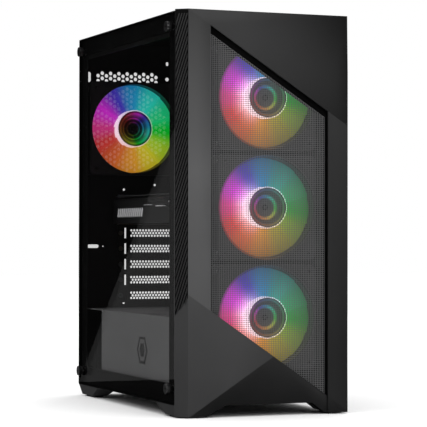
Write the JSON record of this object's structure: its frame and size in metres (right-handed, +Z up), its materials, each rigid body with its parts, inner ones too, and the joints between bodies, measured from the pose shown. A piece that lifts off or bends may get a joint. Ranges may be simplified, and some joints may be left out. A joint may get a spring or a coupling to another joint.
{
  "type": "desktop computer tower",
  "caption": "Mid-tower desktop computer with a glass side panel, a faceted front bezel over a fine mesh, and lit fans.",
  "frame": {"origin": "on the floor under the middle of the case", "axes": "+Z up, the front faces -Y, the glass side faces -X"},
  "size_m": [0.2153, 0.3747, 0.46],
  "materials": {
    "painted_steel": "black powder-coated steel",
    "bezel_plastic": "black satin moulded ABS",
    "mesh_steel": "black fine perforated steel",
    "tempered_glass": "tinted tempered glass",
    "rubber": "black rubber",
    "fan_housing": "black fan plastic",
    "fan_blade": "frosted translucent plastic, lit in rainbow colours",
    "dark_blade": "black plastic",
    "screw_steel": "black oxide steel",
    "circuit_board": "black solder mask on glass fibre",
    "heatsink": "anodised aluminium",
    "plated_steel": "zinc-plated steel",
    "socket_plastic": "black nylon",
    "memory_spreader": "dark anodised aluminium",
    "card_plastic": "dark grey plastic",
    "cable_sleeve": "black sleeved cable",
    "filter_cloth": "fine nylon filter in a plastic frame",
    "drive_casting": "cast aluminium"
  },
  "bodies": {
    "chassis": {"base_pan": "painted_steel", "rear_panel": "painted_steel", "roof_panel": "painted_steel", "motherboard_tray": "painted_steel", "front_wall": "painted_steel", "psu_shroud": "painted_steel", "front_feet": "bezel_plastic", "rear_feet": "bezel_plastic", "foot_pads": "rubber", "front_fan_bottom_frame": "fan_housing", "front_fan_middle_frame": "fan_housing", "front_fan_top_frame": "fan_housing", "rear_fan_frame": "fan_housing", "case_screws": "screw_steel", "motherboard": "circuit_board", "standoffs": "plated_steel", "rear_ports": "plated_steel", "board_heatsinks": "heatsink", "board_sockets": "socket_plastic", "memory_modules": "memory_spreader", "cooler_heatsink": "heatsink", "cooler_fan_frame": "fan_housing", "card_board": "circuit_board", "card_heatsink": "heatsink", "card_shroud": "card_plastic", "card_backplate": "memory_spreader", "card_bracket": "plated_steel", "slot_covers": "painted_steel", "power_supply_case": "painted_steel", "power_inlet": "socket_plastic", "drive_cage": "painted_steel", "hard_drive": "drive_casting", "solid_state_drive": "memory_spreader", "front_ports": "plated_steel", "main_power_cable": "cable_sleeve", "card_power_cable": "cable_sleeve"},
    "front_fan_bottom_rotor": {"front_fan_bottom_rotor": "fan_blade"},
    "front_fan_middle_rotor": {"front_fan_middle_rotor": "fan_blade"},
    "front_fan_top_rotor": {"front_fan_top_rotor": "fan_blade"},
    "rear_fan_rotor": {"rear_fan_rotor": "fan_blade"},
    "cooler_fan_rotor": {"cooler_fan_rotor": "dark_blade"},
    "card_fan_front_rotor": {"card_fan_front_rotor": "dark_blade"},
    "card_fan_rear_rotor": {"card_fan_rear_rotor": "dark_blade"},
    "power_supply_rotor": {"power_supply_rotor": "dark_blade"},
    "glass_side": {"glass_panel": "tempered_glass", "glass_grommets": "rubber"},
    "glass_screw_bottom_front": {"glass_screw_bottom_front": "screw_steel"},
    "glass_screw_top_front": {"glass_screw_top_front": "screw_steel"},
    "glass_screw_bottom_rear": {"glass_screw_bottom_rear": "screw_steel"},
    "glass_screw_top_rear": {"glass_screw_top_rear": "screw_steel"},
    "steel_side": {"right_panel": "painted_steel"},
    "side_screw_bottom": {"side_screw_bottom": "screw_steel"},
    "side_screw_top": {"side_screw_top": "screw_steel"},
    "bezel": {"front_bezel": "bezel_plastic", "front_mesh": "mesh_steel"},
    "roof_filter": {"top_filter": "filter_cloth"},
    "bottom_filter": {"supply_filter": "filter_cloth"},
    "power_button": {"power_button": "bezel_plastic"},
    "reset_button": {"reset_button": "bezel_plastic"},
    "power_switch": {"power_switch": "socket_plastic"}
  },
  "joints": [
    {"name": "front_fan_bottom_spin", "type": "hinge", "parent": "chassis", "child": "front_fan_bottom_rotor", "pos_m": [0.008, -0.1725, 0.1115], "axis": [0, -1, 0], "continuous": true},
    {"name": "front_fan_middle_spin", "type": "hinge", "parent": "chassis", "child": "front_fan_middle_rotor", "pos_m": [0.008, -0.1725, 0.2375], "axis": [0, -1, 0], "continuous": true},
    {"name": "front_fan_top_spin", "type": "hinge", "parent": "chassis", "child": "front_fan_top_rotor", "pos_m": [0.008, -0.1725, 0.3635], "axis": [0, -1, 0], "continuous": true},
    {"name": "rear_fan_spin", "type": "hinge", "parent": "chassis", "child": "rear_fan_rotor", "pos_m": [-0.038, 0.1595, 0.344], "axis": [0, -1, 0], "continuous": true},
    {"name": "cooler_fan_spin", "type": "hinge", "parent": "chassis", "child": "cooler_fan_rotor", "pos_m": [0.0192, 0.092, 0.348], "axis": [-1, 0, 0], "continuous": true},
    {"name": "card_fan_front_spin", "type": "hinge", "parent": "chassis", "child": "card_fan_front_rotor", "pos_m": [-0.007, 0.008, 0.2216], "axis": [0, 0, -1], "continuous": true},
    {"name": "card_fan_rear_spin", "type": "hinge", "parent": "chassis", "child": "card_fan_rear_rotor", "pos_m": [-0.007, 0.112, 0.2216], "axis": [0, 0, -1], "continuous": true},
    {"name": "power_supply_fan_spin", "type": "hinge", "parent": "chassis", "child": "power_supply_rotor", "pos_m": [-0.005, 0.112, 0.023], "axis": [0, 0, -1], "continuous": true},
    {"name": "glass_lift_off", "type": "slide", "parent": "chassis", "child": "glass_side", "axis": [-1, 0, 0], "range_m": [0, 0.12]},
    {"name": "glass_screw_bottom_front_turn", "type": "hinge", "parent": "glass_side", "child": "glass_screw_bottom_front", "pos_m": [-0.1058, -0.158, 0.032], "axis": [-1, 0, 0], "continuous": true},
    {"name": "glass_screw_bottom_rear_turn", "type": "hinge", "parent": "glass_side", "child": "glass_screw_bottom_rear", "pos_m": [-0.1058, 0.171, 0.032], "axis": [-1, 0, 0], "continuous": true},
    {"name": "glass_screw_top_front_turn", "type": "hinge", "parent": "glass_side", "child": "glass_screw_top_front", "pos_m": [-0.1058, -0.158, 0.442], "axis": [-1, 0, 0], "continuous": true},
    {"name": "glass_screw_top_rear_turn", "type": "hinge", "parent": "glass_side", "child": "glass_screw_top_rear", "pos_m": [-0.1058, 0.171, 0.442], "axis": [-1, 0, 0], "continuous": true},
    {"name": "steel_side_pull_back", "type": "slide", "parent": "chassis", "child": "steel_side", "axis": [0, 1, 0], "range_m": [0, 0.37]},
    {"name": "side_screw_bottom_turn", "type": "hinge", "parent": "steel_side", "child": "side_screw_bottom", "pos_m": [0.0975, 0.1852, 0.06], "axis": [0, 1, 0], "continuous": true},
    {"name": "side_screw_top_turn", "type": "hinge", "parent": "steel_side", "child": "side_screw_top", "pos_m": [0.0975, 0.1852, 0.43], "axis": [0, 1, 0], "continuous": true},
    {"name": "bezel_pull_off", "type": "slide", "parent": "chassis", "child": "bezel", "axis": [0, -1, 0], "range_m": [0, 0.06]},
    {"name": "roof_filter_lift", "type": "slide", "parent": "chassis", "child": "roof_filter", "axis": [0, 0, 1], "range_m": [0, 0.06]},
    {"name": "bottom_filter_pull", "type": "slide", "parent": "chassis", "child": "bottom_filter", "axis": [0, 1, 0], "range_m": [0, 0.135]},
    {"name": "power_button_press", "type": "slide", "parent": "chassis", "child": "power_button", "axis": [0, 0, -1], "range_m": [0, 0.0015], "stiffness_N_per_m": 800},
    {"name": "reset_button_press", "type": "slide", "parent": "chassis", "child": "reset_button", "axis": [0, 0, -1], "range_m": [0, 0.0015], "stiffness_N_per_m": 600},
    {"name": "power_switch_rock", "type": "hinge", "parent": "chassis", "child": "power_switch", "pos_m": [-0.022, 0.18, 0.082], "axis": [1, 0, 0], "range_deg": [-16, 0]}
  ]
}
